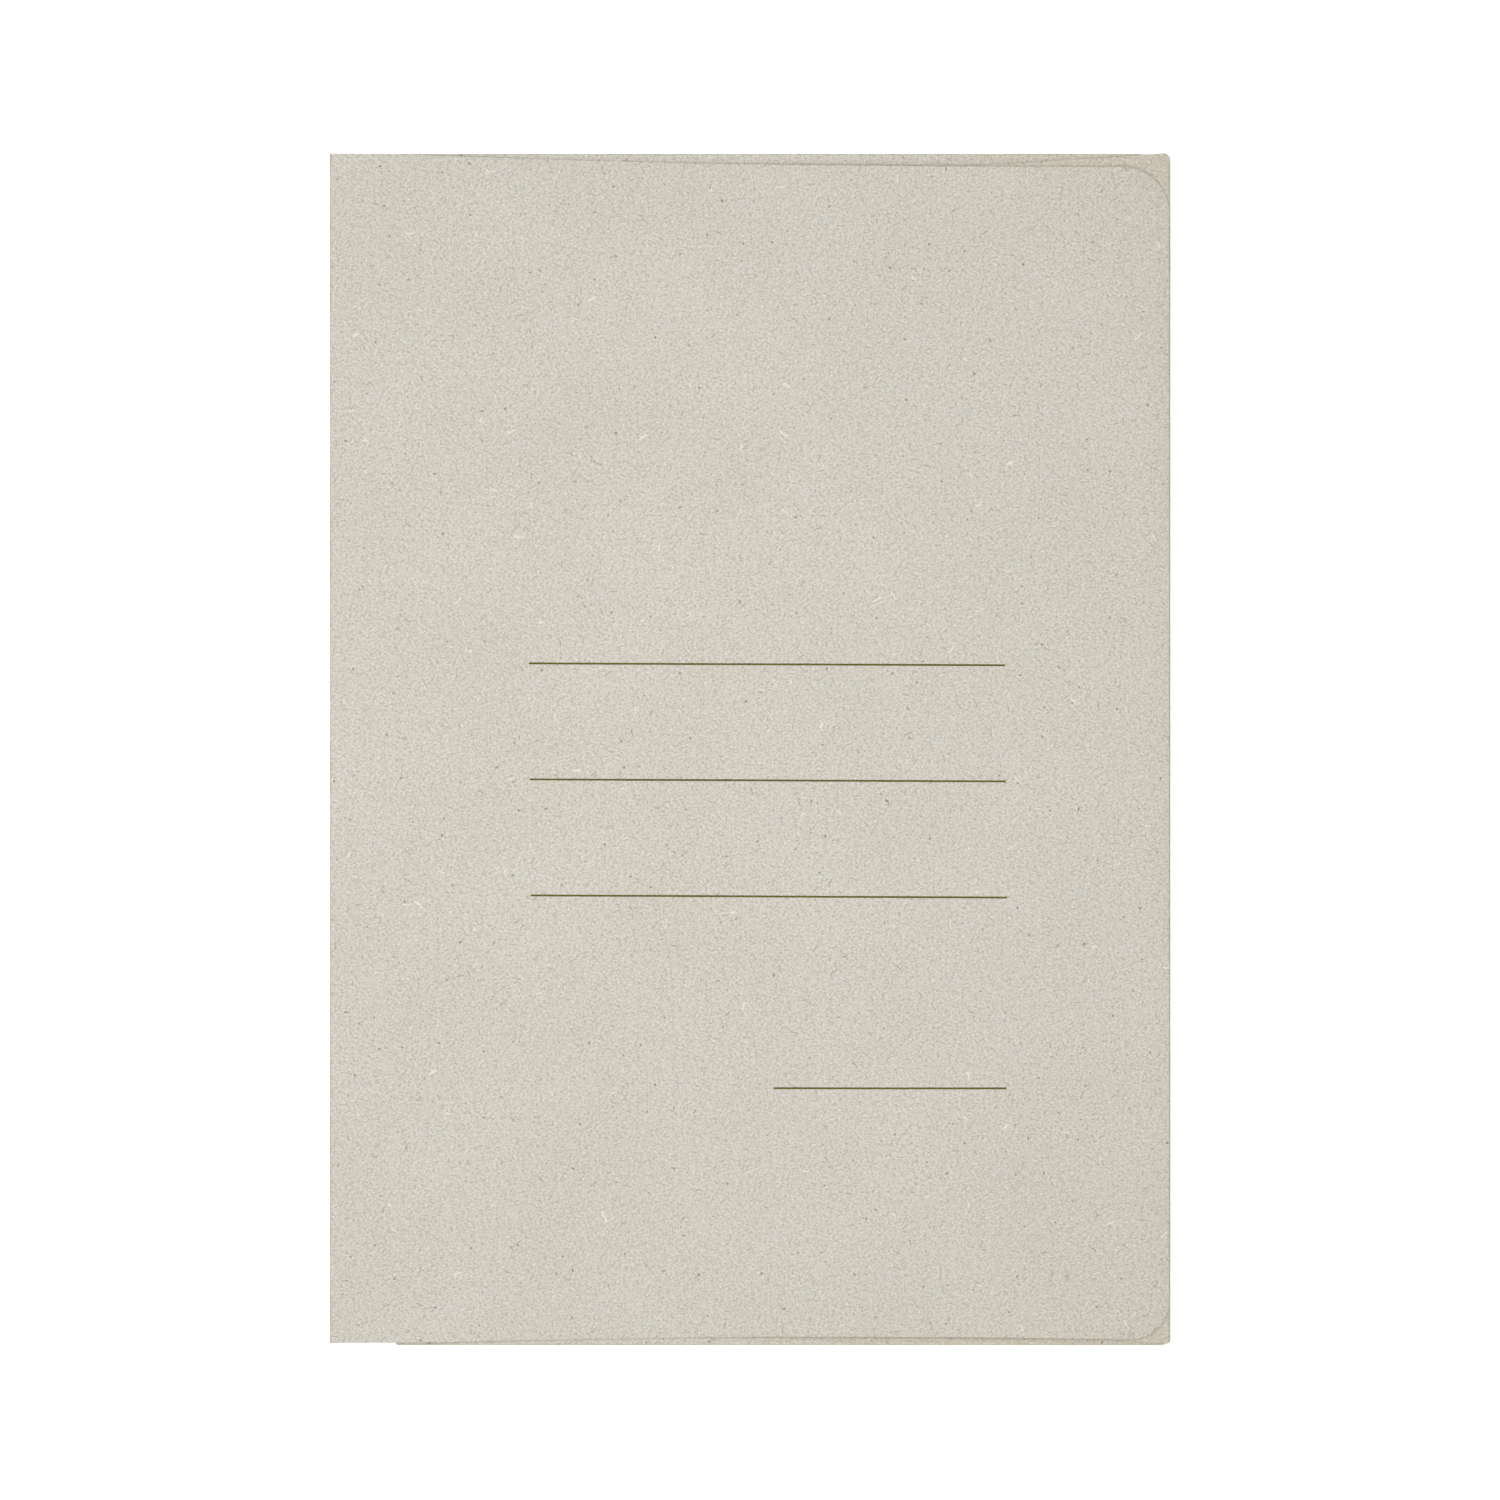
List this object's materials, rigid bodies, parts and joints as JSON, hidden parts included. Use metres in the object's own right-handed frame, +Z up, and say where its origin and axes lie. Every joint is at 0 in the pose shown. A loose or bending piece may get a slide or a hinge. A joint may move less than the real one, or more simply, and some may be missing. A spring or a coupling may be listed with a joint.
{
  "type": "three-flap document folder",
  "caption": "Document folder folded from one sheet of recycled board, with a ruled cover over a side flap and slanted top and bottom flaps.",
  "frame": {"origin": "middle of the underside of the closed folder", "axes": "+Z up out of the cover, +Y towards the folder's top, +X from the spine to the fore edge"},
  "size_m": [0.2256, 0.32, 0.0029],
  "materials": {
    "recycled_board": "matte",
    "ruling_ink": "matte"
  },
  "bodies": {
    "back": {"back_panel": "recycled_board", "back_spine_score": "recycled_board", "side_fold": "recycled_board", "top_fold": "recycled_board", "bottom_fold": "recycled_board"},
    "spine": {"spine_strip": "recycled_board", "cover_spine_score": "recycled_board"},
    "cover": {"front_cover": "recycled_board"},
    "side_flap": {"side_flap": "recycled_board"},
    "top_flap": {"top_flap": "recycled_board"},
    "bottom_flap": {"bottom_flap": "recycled_board"}
  },
  "joints": [
    {"name": "spine_score", "type": "hinge", "parent": "back", "child": "spine", "pos_m": [-0.11241, 0, 0.00034], "axis": [0, -1, 0], "range_deg": [0, 90], "deforming": ["back_spine_score"]},
    {"name": "cover_opening", "type": "hinge", "parent": "spine", "child": "cover", "pos_m": [-0.11241, 0, 0.00256], "axis": [0, -1, 0], "range_deg": [0, 90], "deforming": ["cover_spine_score"]},
    {"name": "side_flap_opening", "type": "hinge", "parent": "back", "child": "side_flap", "pos_m": [0.11218, 0, 0.00105], "axis": [0, 1, 0], "range_deg": [0, 180], "deforming": ["side_fold"]},
    {"name": "top_flap_opening", "type": "hinge", "parent": "back", "child": "top_flap", "pos_m": [0, 0.15959, 0.00065], "axis": [-1, 0, 0], "range_deg": [0, 180], "deforming": ["top_fold"]},
    {"name": "bottom_flap_opening", "type": "hinge", "parent": "back", "child": "bottom_flap", "pos_m": [0, -0.15959, 0.00065], "axis": [1, 0, 0], "range_deg": [0, 180], "deforming": ["bottom_fold"]}
  ],
  "couplings": [
    {"joint": "spine_score", "follows": "cover_opening", "ratio": 1},
    {"joint": "side_flap_opening", "follows": "cover_opening", "ratio": 2},
    {"joint": "top_flap_opening", "follows": "cover_opening", "ratio": 2},
    {"joint": "bottom_flap_opening", "follows": "cover_opening", "ratio": 2}
  ]
}
